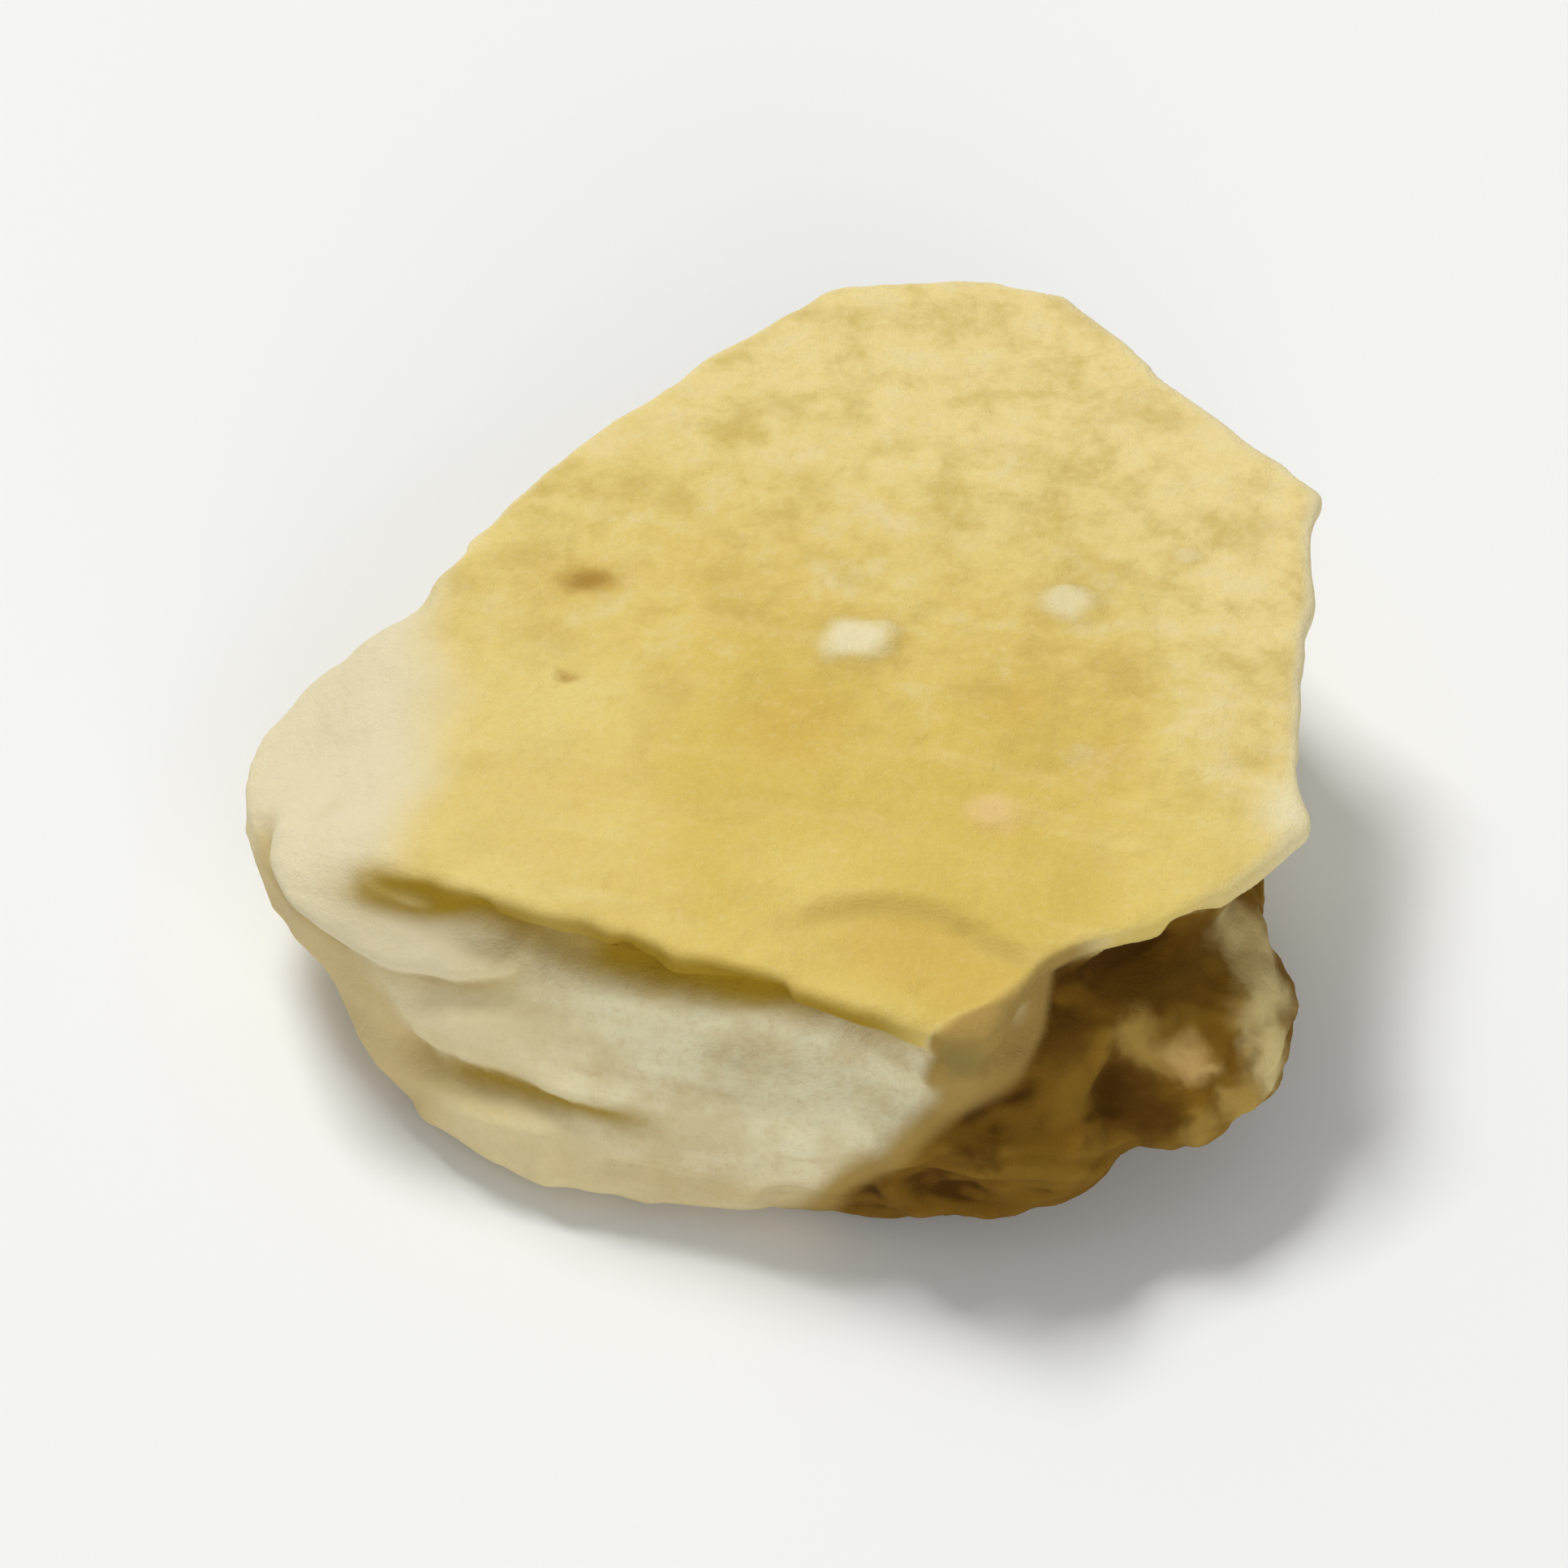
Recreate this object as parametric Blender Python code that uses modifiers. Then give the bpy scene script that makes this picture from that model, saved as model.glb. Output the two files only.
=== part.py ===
"""One chip of dried, cut horseradish root.

The chip lies on its broken underside. Its top is a knife-cut face that has yellowed in drying and stands
as a thin ledge over the front wall. The walls are broken flesh with the fibres of the root running along
them, and at the left they round over to a pale shoulder. The front right corner still has the brown,
wrinkled bark. The chip is one body, so it is one solid.

The form is worked in millimetres and scaled to metres at the end. +X is to the right, +Y to the back and
+Z up. The origin is at the middle of the chip's base.
"""

import math

import bmesh
import bpy
from mathutils import Matrix, Vector, noise

METRES_PER_MM = 0.001

# Driving dimensions, in millimetres
HEIGHT = 3.0
CUT_FACE_THICKNESS = 0.32
FLESH_TOP = 2.75
SHOULDER_TOP = 2.96
BARK_LOW, BARK_TOP = 0.0, 2.35
LIP_LOW, LIP_HIGH = 0.05, 0.95
FRONT_FLARE = 0.85
SHOULDER_FALL = 1.15
BARK_FALL = 0.55
SHOULDER_LIFT = 1.15
BARK_LIFT = 0.45
GROOVE_DEPTH = 0.16
EDGE_ROUNDING = 0.1
FLESH_ROUNDING = 0.28
SHOULDER_ROUNDING = 0.5
BARK_ROUNDING = 0.85
LIP_ROUNDING = 0.2

# Fineness of the solid
VOXEL = 0.075
SMOOTHING_ROUNDS = 4
BODY_SMOOTHING_ROUNDS = 14
MOST_TRIANGLES = 11500

# The way that the fibres of the root run, seen from above
GRAIN_ANGLE = math.radians(-13)
GRAIN = Vector((math.cos(GRAIN_ANGLE), math.sin(GRAIN_ANGLE), 0))
ACROSS = Vector((-math.sin(GRAIN_ANGLE), math.cos(GRAIN_ANGLE), 0))

# The way to the front right corner, seen from above
CORNER = Vector((0.72, -0.69, 0))

# The pit in the bark, and the middle of the flat spot that the chip rests on
BARK_PIT = Vector((3.2, -4.3, 1.55))
BARK_PIT_RADIUS = 0.45
BARK_PIT_DEPTH = 0.35
REST_X, REST_Y = 0.2, -0.3
REST_RADIUS = 2.0

# Outlines seen from above, clockwise from the back
CUT_FACE_OUTLINE = [
    (0.45, 4.57), (1.06, 4.62), (1.93, 4.60), (2.62, 4.44), (2.97, 4.06), (3.66, 3.27), (4.36, 2.53),
    (5.01, 1.96), (4.92, 1.40), (4.83, 0.38), (4.74, -0.64), (4.75, -1.50), (4.82, -2.00), (4.44, -2.51),
    (4.01, -2.91), (3.49, -3.19), (2.97, -3.42), (2.45, -3.59), (2.19, -3.93), (1.86, -4.56), (1.60, -4.58),
    (0.80, -4.25), (0.19, -4.02), (-0.68, -3.74), (-1.55, -3.40), (-2.42, -3.06), (-3.90, -2.56),
    (-3.76, -2.12), (-3.30, -1.21), (-3.05, -0.55), (-3.25, 0.35), (-3.28, 0.94), (-2.76, 1.62),
    (-2.24, 2.30), (-1.72, 2.82), (-1.11, 3.32), (-0.50, 3.84), (0.02, 4.23),
]
FLESH_OUTLINE = [
    (0.50, 4.45), (1.95, 4.48), (3.20, 3.55), (4.45, 2.20), (4.72, 1.60), (4.60, 0.60), (4.42, -0.80),
    (4.40, -1.80), (3.90, -2.60), (2.95, -3.20), (2.32, -3.62), (2.08, -3.95), (1.78, -4.52), (1.58, -4.54),
    (0.80, -4.12), (0.19, -3.83),
    (-0.68, -3.53), (-1.55, -3.20), (-2.42, -2.88), (-3.30, -2.58), (-3.90, -2.30), (-4.10, -1.60),
    (-4.00, -0.50), (-3.40, 0.80), (-2.75, 1.45), (-2.25, 2.05), (-1.75, 2.60), (-1.10, 3.15),
    (-0.50, 3.68), (0.00, 4.08),
]
SHOULDER_OUTLINE = [
    (-2.20, 1.40), (-2.20, -2.10), (-2.90, -2.55), (-3.70, -2.68), (-4.12, -2.50), (-4.50, -2.18),
    (-4.78, -1.75), (-4.92, -1.20), (-4.96, -0.55), (-4.86, 0.08), (-4.28, 0.66), (-3.45, 0.96),
]
BARK_OUTLINE = [
    (0.80, -2.40), (0.50, -3.70), (1.05, -4.52), (1.90, -4.86), (2.65, -4.80), (3.55, -4.50),
    (4.30, -4.02), (4.72, -3.50), (4.76, -2.95), (4.42, -2.30), (4.25, -1.40), (4.15, -0.40), (3.20, 0.20),
]
LIP_OUTLINE = [
    (-3.20, -2.20), (-3.62, -2.58), (-3.25, -2.90), (-2.70, -3.10), (-2.07, -3.28), (-1.20, -3.50),
    (-0.20, -3.82), (-1.20, -2.80),
]


def clear_scene():
    for obj in list(bpy.data.objects):
        bpy.data.objects.remove(obj)


def evaluated_mesh(obj):
    """The object's mesh with its modifiers applied."""
    bpy.context.view_layer.update()
    graph = bpy.context.evaluated_depsgraph_get()
    return bpy.data.meshes.new_from_object(obj.evaluated_get(graph))


def slab(outline, low, high, rounding):
    """A mesh of the outline as a slab from low to high, with rounded edges."""
    curve = bpy.data.curves.new("slab", "CURVE")
    curve.dimensions = "2D"
    curve.fill_mode = "BOTH"
    curve.bevel_depth = rounding
    curve.bevel_resolution = 3
    curve.offset = -rounding
    curve.extrude = (high - low) / 2 - rounding
    spline = curve.splines.new("POLY")
    spline.points.add(len(outline) - 1)
    for point, (x, y) in zip(spline.points, outline):
        point.co = (x, y, 0, 1)
    spline.use_cyclic_u = True
    obj = bpy.data.objects.new("slab", curve)
    bpy.context.scene.collection.objects.link(obj)
    made = evaluated_mesh(obj)
    made.transform(Matrix.Translation((0, 0, (low + high) / 2)))
    bpy.data.objects.remove(obj)
    return made


def fused(slabs):
    """One object of all the slabs, melted together on a grid of voxels."""
    joined = bmesh.new()
    for piece in slabs:
        joined.from_mesh(piece)
        bpy.data.meshes.remove(piece)
    bmesh.ops.remove_doubles(joined, verts=joined.verts, dist=VOXEL / 1000)
    mesh = bpy.data.meshes.new("root_chip")
    joined.to_mesh(mesh)
    joined.free()
    obj = bpy.data.objects.new("root_chip", mesh)
    bpy.context.scene.collection.objects.link(obj)
    remesh = obj.modifiers.new("Melt together", "REMESH")
    remesh.mode = "VOXEL"
    remesh.voxel_size = VOXEL
    soften = obj.modifiers.new("Soften", "SMOOTH")
    soften.iterations = SMOOTHING_ROUNDS
    melted = evaluated_mesh(obj)
    obj.modifiers.clear()
    obj.data = melted
    return obj


def soften_body(obj):
    """Smooths all that lies below the ledge, so that the slabs run into one another."""
    body = obj.vertex_groups.new(name="body")
    for vertex in obj.data.vertices:
        body.add([vertex.index], 1 - rise(vertex.co.z, FLESH_TOP - 0.4, FLESH_TOP - 0.2), "REPLACE")
    soften = obj.modifiers.new("Soften the body", "SMOOTH")
    soften.vertex_group = body.name
    soften.iterations = BODY_SMOOTHING_ROUNDS
    smoothed = evaluated_mesh(obj)
    obj.modifiers.clear()
    obj.vertex_groups.clear()
    obj.data = smoothed


def rise(value, start, end):
    """From 0 at start to 1 at end, with a smooth turn at both."""
    t = min(1, max(0, (value - start) / (end - start)))
    return t * t * (3 - 2 * t)


def near(value, middle, width):
    """1 at the middle, falling smoothly to 0 at the width on either side."""
    return 1 - rise(abs(value - middle), 0, width)


def outward(p):
    """The level direction away from the middle of the chip."""
    reach = math.hypot(p.x, p.y)
    return Vector((p.x, p.y, 0)) / max(reach, 1)


def bark_share(p):
    """1 on the bark of the front right corner, 0 on the flesh."""
    return rise(p.dot(CORNER), 3.6, 4.3) * (1 - rise(p.z, 2.0, 2.4))


def shaped(p):
    """The broad form: where the walls flare or are undercut, and where the top rounds over."""
    q = p.copy()
    down = 1 - p.z / HEIGHT
    front = rise(-p.y, 1.5, 2.7) * (1 - rise(p.x, -0.5, 2.4)) * rise(p.x, -4.6, -2.2)
    q.y -= FRONT_FLARE * front * rise(down, 0.08, 0.75)
    groove = near(p.z, 2.5, 0.35) * (1 - rise(p.z, 2.6, 2.7))
    q.y += GROOVE_DEPTH * groove * rise(-p.y, 1.5, 2.7) * (1 - rise(p.x, 0.2, 1.3))
    right = rise(p.x, 2.5, 4.5) * rise(p.y, -1.5, 0.5)
    q.x -= right * (0.75 * down * down + 0.15 * near(p.z, 1.9, 0.5))
    back = rise(p.y, 1.5, 4.0)
    q.y -= back * (0.6 * down * down + 0.2 * near(p.z, 1.9, 0.5))
    past_face = -p.x - 3.0 - 0.35 * rise(-p.y, 0.2, 2.6)
    level = p.z / HEIGHT
    at_left = rise(-p.x, 3.5, 4.7)
    q.z += SHOULDER_LIFT * at_left * (1 - level) - SHOULDER_FALL * rise(past_face, 0, 2.1) * level
    q.z -= BARK_FALL * rise(p.dot(CORNER), 3.9, 6.2) * rise(p.z, 1.0, 2.2) * (1 - rise(p.z, 2.4, 2.65))
    q.z += 0.08 * math.sin(p.x * 0.55 + 0.4) * math.cos(p.y * 0.5 - 0.3) * rise(p.z, 1.0, 2.6)
    q.z += BARK_LIFT * rise(p.x, 2.0, 3.4) * rise(-p.y, 0.5, 2.5) * max(0, 1 - p.z / BARK_TOP)
    rim = rise(math.hypot(p.x - REST_X, p.y - REST_Y), 2.6, 5.2) * (1 - at_left)
    q.z += (0.3 + 0.25 * noise.noise(p * 0.5)) * rim * (1 - rise(p.z, 0.0, 1.2))
    return q


def fibres(p, fineness):
    """Noise that is drawn out along the fibres of the root."""
    along, over = p.dot(GRAIN), p.dot(ACROSS)
    return noise.noise(Vector((along * 0.35, over * 1.4, p.z * 1.6)) * fineness)


def layers(p):
    """Steps where the flesh has split between layers of fibres."""
    level = 3.2 * noise.noise(Vector((p.dot(GRAIN) * 0.35, p.dot(ACROSS) * 0.8, p.z * 0.9 + 5)))
    whole = math.floor(level)
    return (whole + rise(level - whole, 0.3, 0.7)) / 3.2


def wall_relief(p):
    """How far a wall stands out, in millimetres."""
    bark = bark_share(p)
    lumps = noise.noise(p * 0.8 + Vector((7, 3, 1)))
    flesh = 0.22 * layers(p) + 0.10 * fibres(p, 1.5) + 0.16 * lumps
    wrinkles = abs(noise.noise(Vector((p.x * 0.7, p.y * 0.9, p.z * 1.6)) + Vector((2, 9, 4))))
    cork = 0.08 - 0.4 * wrinkles + 0.14 * noise.noise(p * 1.7)
    pit = math.exp(-((p - BARK_PIT).length / BARK_PIT_RADIUS) ** 2)
    smoother = 1 - 0.6 * rise(-p.x, 2.8, 3.6) * rise(p.z, 0.8, 1.6)
    return smoother * flesh + bark * (cork - flesh) - BARK_PIT_DEPTH * pit


def under_relief(p):
    """How far the underside hangs down, in millimetres."""
    return 0.14 * layers(p + Vector((3, 8, 2))) + 0.10 * fibres(p, 1.1)


def carve(obj):
    mesh = obj.data
    for vertex in mesh.vertices:
        p = shaped(vertex.co)
        on_wall = (1 - rise(p.z, FLESH_TOP - 0.25, FLESH_TOP + 0.05)) * rise(math.hypot(p.x, p.y), 1.5, 2.8)
        below = 1 - rise(p.z, 0.3, 1.2)
        moved = p + on_wall * wall_relief(p) * outward(p)
        moved.z -= below * under_relief(p)
        moved.z += 0.04 * rise(p.z, FLESH_TOP - 0.2, FLESH_TOP) * noise.noise(p * 0.8 + Vector((0, 0, 20)))
        vertex.co = moved
    floor = sorted(v.co.z for v in mesh.vertices)[len(mesh.vertices) // 25]
    for vertex in mesh.vertices:
        vertex.co.z = max(0, vertex.co.z - floor)
        foot = 1 - rise(math.hypot(vertex.co.x - REST_X, vertex.co.y - REST_Y), REST_RADIUS, REST_RADIUS + 0.8)
        if vertex.co.z < 0.4:
            vertex.co.z *= 1 - foot
    mesh.update()


def fewer_faces(obj):
    obj.data.calc_loop_triangles()
    thin = obj.modifiers.new("Fewer faces", "DECIMATE")
    thin.ratio = MOST_TRIANGLES / len(obj.data.loop_triangles)
    lighter = evaluated_mesh(obj)
    obj.modifiers.clear()
    obj.data = lighter
    for vertex in lighter.vertices:
        if vertex.co.z < VOXEL / 10:
            vertex.co.z = 0


def centre_on_base(obj):
    """Puts the origin at the middle of the base and scales the chip to metres."""
    places = [vertex.co for vertex in obj.data.vertices]
    low = Vector(min(place[axis] for place in places) for axis in range(3))
    high = Vector(max(place[axis] for place in places) for axis in range(3))
    middle = (low + high) / 2
    print("the box runs from", tuple(low), "to", tuple(high))
    obj.data.transform(Matrix.Translation((-middle.x, -middle.y, -low.z)))
    obj.data.transform(Matrix.Scale(METRES_PER_MM, 4))


def dried_root_material():
    material = bpy.data.materials.new("dried_root")
    material.use_nodes = True
    shader = material.node_tree.nodes["Principled BSDF"]
    shader.inputs["Base Color"].default_value = (0.72, 0.56, 0.22, 1)
    shader.inputs["Roughness"].default_value = 0.85
    shader.inputs["Metallic"].default_value = 0
    return material


def main():
    clear_scene()
    chip = fused([
        slab(CUT_FACE_OUTLINE, HEIGHT - CUT_FACE_THICKNESS, HEIGHT, EDGE_ROUNDING),
        slab(FLESH_OUTLINE, 0, FLESH_TOP, FLESH_ROUNDING),
        slab(SHOULDER_OUTLINE, 0.1, SHOULDER_TOP, SHOULDER_ROUNDING),
        slab(BARK_OUTLINE, BARK_LOW, BARK_TOP, BARK_ROUNDING),
        slab(LIP_OUTLINE, LIP_LOW, LIP_HIGH, LIP_ROUNDING),
    ])
    soften_body(chip)
    carve(chip)
    fewer_faces(chip)
    centre_on_base(chip)
    chip.data.materials.clear()
    chip.data.materials.append(dried_root_material())
    for polygon in chip.data.polygons:
        polygon.use_smooth = True
    home = bpy.data.collections.new("horseradish_root_chip")
    bpy.context.scene.collection.children.link(home)
    bpy.context.scene.collection.objects.unlink(chip)
    home.objects.link(chip)


main()
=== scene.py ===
"""One chip of dried, cut horseradish root, finished for its picture.

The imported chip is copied, melted onto a finer grid and carved with the small relief of a real one: the
fibres of the broken flesh, the pores of the cut face and the wrinkles of the bark. Its colours come from
masks kept on the mesh and from noise in the shader. Lengths are in millimetres until the chip is placed.
"""

import math

import bpy
import numpy as np
from mathutils import Matrix, Vector, noise


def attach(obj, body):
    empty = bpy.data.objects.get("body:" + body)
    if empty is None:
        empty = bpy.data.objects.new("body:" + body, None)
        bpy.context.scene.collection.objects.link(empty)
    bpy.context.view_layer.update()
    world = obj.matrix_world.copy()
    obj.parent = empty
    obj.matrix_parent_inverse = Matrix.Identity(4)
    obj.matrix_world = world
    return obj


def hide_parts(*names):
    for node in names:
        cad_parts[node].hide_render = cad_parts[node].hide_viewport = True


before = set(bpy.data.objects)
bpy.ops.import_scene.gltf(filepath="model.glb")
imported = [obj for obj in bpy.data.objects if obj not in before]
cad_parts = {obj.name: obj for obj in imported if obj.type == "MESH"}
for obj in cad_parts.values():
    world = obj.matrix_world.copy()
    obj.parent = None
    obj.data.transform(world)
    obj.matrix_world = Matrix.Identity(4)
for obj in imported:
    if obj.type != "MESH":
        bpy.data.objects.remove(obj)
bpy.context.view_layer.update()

MM_PER_METRE = 1000

# Fineness of the surface, in millimetres
VOXEL = 0.054
SOFTENING_ROUNDS = 6

# The fibres of the root run this way, seen from above
GRAIN_ANGLE = math.radians(-13)

# Ways seen from above, as (x, y): out of the front wall, to the front right corner, past the front tip
# and to the back of the cut face
FRONT_WAY = (-0.36, -0.93)
CORNER_WAY = (0.72, -0.69)
TIP_WAY = (0.60, -0.80)
BACK_WAY = (0.35, 1.0)

# How far out on its way the front wall begins
FRONT_WALL = (2.4, 3.0)

# Where the yellow cut face ends at the left and the pale shoulder begins, as (y, x) from front to back,
# and how far that change reaches on either side
SHOULDER_LINE = [
    (-2.60, -3.90), (-2.20, -3.64), (-1.73, -3.46), (-1.26, -3.27), (-0.09, -3.19), (1.08, -3.36),
]
SHOULDER_SOFT = (-0.5, 0.5)

# The heights between which the wall turns into the cut face
FACE_LEVEL = (2.58, 2.66)

# How far the edges of the face and of the bark stray from their lines
EDGE_WANDER = 0.16

# How far down the painted shade under the ledge reaches, as (x, z), and where along x it starts and stops
LEDGE_SHADE_LINE = [(-4.2, 2.50), (-2.7, 2.48), (-2.2, 2.34), (-0.9, 2.34), (0.3, 2.46), (1.1, 2.72)]
LEDGE_SHADE_SPAN = ((-4.4, -3.8), (0.7, 1.5))

# Where that painted shade runs up over the rim of the cut face at its left end, as (x, y)
RIM_SHADE_LINE = [(-4.12, -2.12), (-3.75, -2.33), (-3.35, -2.56), (-3.00, -2.74), (-2.55, -2.92)]

# The lower edge of the thin layer under the ledge, as (x, z), with a little painted shade below it, and
# its step
LAYER_LINE = [(-4.3, 2.00), (-3.6, 1.88), (-3.0, 1.92), (-2.5, 2.12), (-2.1, 2.50)]
LAYER_STEP = 0.15

# The low ridge below that layer's left end, as (x, z), where along x it starts and stops, and its step; a
# band of painted shade runs just under it
RIDGE_LINE = [(-4.6, 2.15), (-4.17, 1.98), (-3.68, 1.66), (-3.33, 1.20), (-3.0, 1.0)]
RIDGE_SPAN = ((-4.5, -4.1), (-3.3, -2.9))
RIDGE_STEP = 0.05

# The groove over the lower lip of the flesh, which is darkened with painted shade, as (x, z), where along
# x it starts and stops, and its depth
LIP_LINE = [(-3.8, 1.00), (-3.2, 1.01), (-2.8, 1.04), (-2.3, 1.08), (-1.85, 1.17), (-1.4, 1.21)]
LIP_SPAN = ((-3.7, -2.7), (-1.7, -0.9))
LIP_GROOVE = 0.09

# How far towards the front right corner the bark starts at the base, how much further for each millimetre
# up, and how much nearer again under the cut face
BARK_EDGE = 2.95
BARK_LEAN = 0.60
BARK_UNDER_FACE = 0.65

# The tan strip beside the bark: how wide it is and how far it stands out
STRIP_WIDTH = 0.18
STRIP_STEP = 0.04

# How far past the front tip its yellow gives way to the strip's tan
TIP_END = (4.18, 4.36)

# How far towards the corner the bark is softened, how strongly and in how many rounds
CORNER_SOFT = (3.9, 4.8)
CORNER_SOFT_SHARE = 0.7
CORNER_SOFT_ROUNDS = 60

# The place of the ledge's left end, how far round it the surface is softened and in how many rounds
LEDGE_END = (-3.65, -2.45, 2.58)
LEDGE_END_REACH = 1.1
LEDGE_END_ROUNDS = 200

# The soft step near the front tip of the cut face, as (x, y), and where along x it starts and stops
FOLD_LINE = [
    (-0.40, -3.16), (-0.10, -3.05), (0.20, -2.94), (0.46, -2.87), (0.75, -2.83),
    (1.02, -2.83), (1.28, -2.89), (1.51, -2.99), (1.92, -3.27), (2.27, -3.49),
]
FOLD_SPAN = ((-0.5, 0.6), (2.0, 2.5))
FOLD_DEPTH = 0.09

# The faint crease at the right of the cut face, as (x, y)
CREASE_LINE = [(2.60, -1.78), (2.91, -1.67), (3.47, -1.50), (4.11, -1.37), (4.60, -1.15)]
CREASE_REACH = 0.16
CREASE_DEPTH = 0.03

# Small things that stand on the cut face: (x, y), radius, height and how white
GRANULES = [
    ((0.66, 0.19), 0.46, 0.07, 0.85),
    ((2.62, 0.66), 0.36, 0.05, 0.65),
    ((3.72, 1.20), 0.18, 0.02, 0.3),
]
PINK_BUMP = ((1.94, -1.82), 0.36, 0.04, 0)
GRANULE_SQUEEZE = 1.35

# Other small things on the cut face, as (x, y), and how deep they are
BROWN_FLECK = (-1.81, 1.05)
FLECK_DEPTH = 0.03
DARK_PIT = (-2.00, -0.09)
PIT_DEPTH = 0.06
PORE_DEPTH = 0.03

# Colour places on the cut face, as (x, y), the first ones with a radius
ORANGE_PLACES = [((2.15, -0.45), 0.6), ((3.00, -1.15), 0.5), ((1.05, -3.35), 0.8), ((0.15, -0.80), 0.9)]
WHITE_CORNER = (4.78, -1.75)

# The grey patch of painted shade on the wall below the front tip
TIP_SHADE_PLACE = (1.62, -4.42, 2.68)
TIP_SHADE_RADIUS = 0.36

# How the dried root takes the light: its shine, the light that goes in and comes out again, and the fine
# bumps, with lengths in metres
SHINE = 0.14
GLOW_SHARE = 0.15
GLOW_TINT = (1.0, 0.7, 0.3)
GLOW_DEPTH = 0.0003
BUMP_STRENGTH = 0.8
BUMP_HEIGHT = 0.00006

# How far the floor reaches each way and how far it lies below the chip, in metres
FLOOR_REACH = 1.5
FLOOR_DROP = 0.00002
FLOOR_ROUGHNESS = 0.7

# The lamps: name, place, size and watts, with lengths in metres
LAMPS = [
    ("key", (-0.14, 0.20, 0.42), 0.15, 1.62),
    ("fill", (0.10, -0.42, 0.26), 0.35, 0.8),
]

# The even glow of the room
ROOM_TINT = (0.95, 0.97, 1.0)
ROOM_GLOW = 0.35

# The camera looks down at this angle on this place, with lengths in metres but for the sensor's width
CAMERA_ELEVATION = math.radians(50)
CAMERA_TARGET = (0, -0.0001, 0.0014)
CAMERA_DISTANCE = 0.2
FRAME_WIDTH = 0.0145
SENSOR_WIDTH = 36

# Colours as linear light
FACE_DEEP = (0.75, 0.545, 0.118)
FACE_PALE = (0.81, 0.62, 0.170)
FACE_BACK = (0.91, 0.74, 0.33)
FACE_ORANGE = (0.70, 0.44, 0.085)
FACE_PORE_AND_SHADE = (0.60, 0.43, 0.10)
FACE_CREAM_AND_HIGHLIGHT = (0.88, 0.75, 0.43)
GRANULE_WHITE = (0.91, 0.81, 0.52)
PINK = (0.86, 0.60, 0.25)
FLECK_BROWN = (0.36, 0.17, 0.02)
FLESH_CHALK = (0.92, 0.84, 0.56)
FLESH_SHADE = (0.78, 0.67, 0.39)
FLESH_OCHRE = (0.50, 0.34, 0.11)
FLESH_BEIGE = (0.67, 0.50, 0.22)
FLESH_WARM = (0.84, 0.71, 0.39)
SHOULDER_CREAM = (0.83, 0.73, 0.49)
# The olive of the painted shade under the ledge and in the grooves
PAINTED_SHADE_OLIVE = (0.39, 0.245, 0.014)
STRIP_TAN = (0.44, 0.29, 0.080)
TIP_SHADE_GREY = (0.29, 0.22, 0.060)
BARK_DARK_AND_SHADE = (0.083, 0.033, 0.001)
BARK_BROWN = (0.20, 0.098, 0.007)
BARK_OCHRE = (0.27, 0.150, 0.014)
BARK_GOLD = (0.56, 0.37, 0.090)
BARK_CREAM = (0.64, 0.43, 0.15)
BARK_RIM = (0.76, 0.61, 0.27)
FLOOR_PALE = (0.84, 0.84, 0.82)

# Marks on the bark, some of them painted shade: (x, y, z), radius, colour and strength
BARK_MARKS = [
    ((2.62, -4.24, 1.93), 0.45, BARK_OCHRE, 0.7),
    ((2.35, -4.60, 1.25), 0.60, BARK_OCHRE, 0.6),
    # Painted shade under the overhanging edge of the cut face
    ((3.25, -3.15, 2.22), 0.70, BARK_DARK_AND_SHADE, 0.6),
    ((3.80, -2.85, 2.20), 0.50, BARK_DARK_AND_SHADE, 0.5),
    ((2.48, -3.75, 2.21), 0.45, BARK_DARK_AND_SHADE, 0.6),
    ((1.78, -4.57, 1.60), 0.38, BARK_DARK_AND_SHADE, 0.8),
    ((4.25, -2.50, 2.05), 0.55, BARK_RIM, 0.75),
    ((4.50, -3.00, 1.80), 0.52, BARK_RIM, 0.85),
    ((4.58, -3.45, 1.55), 0.50, BARK_RIM, 0.95),
    ((4.22, -3.85, 1.38), 0.42, BARK_GOLD, 0.8),
    ((3.80, -4.08, 1.15), 0.34, BARK_GOLD, 0.5),
    ((3.28, -3.68, 1.98), 0.42, BARK_GOLD, 0.65),
    # Painted shade of a pit that the bark's relief doesn't carve
    ((3.12, -4.04, 1.60), 0.52, BARK_DARK_AND_SHADE, 0.95),
    ((3.42, -4.18, 1.42), 0.42, BARK_DARK_AND_SHADE, 0.85),
    ((3.72, -3.66, 1.82), 0.36, BARK_CREAM, 0.9),
    ((4.02, -3.80, 1.70), 0.17, BARK_OCHRE, 0.7),
]


def rise(value, start, end):
    """From 0 at start to 1 at end, with a smooth turn at both."""
    t = np.clip((value - start) / (end - start), 0, 1)
    return t * t * (3 - 2 * t)


def between(value, start, end):
    """1 between two ranges: it rises over the first and falls again over the second."""
    return rise(value, *start) * (1 - rise(value, *end))


def evaluated_mesh(obj):
    """The object's mesh with its modifiers applied."""
    graph = bpy.context.evaluated_depsgraph_get()
    return bpy.data.meshes.new_from_object(obj.evaluated_get(graph))


def fine_copy(node, name):
    """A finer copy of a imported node, in millimetres, with its facets melted away."""
    mesh = node.data.copy()
    mesh.transform(Matrix.Scale(MM_PER_METRE, 4))
    piece = bpy.data.objects.new(name, mesh)
    bpy.context.scene.collection.objects.link(piece)
    melt = piece.modifiers.new("Melt the facets", "REMESH")
    melt.mode = "VOXEL"
    melt.voxel_size = VOXEL
    soften = piece.modifiers.new("Soften the facets", "SMOOTH")
    soften.iterations = SOFTENING_ROUNDS
    bpy.context.view_layer.update()
    melted = evaluated_mesh(piece)
    piece.modifiers.clear()
    piece.data = melted
    return piece


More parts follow.
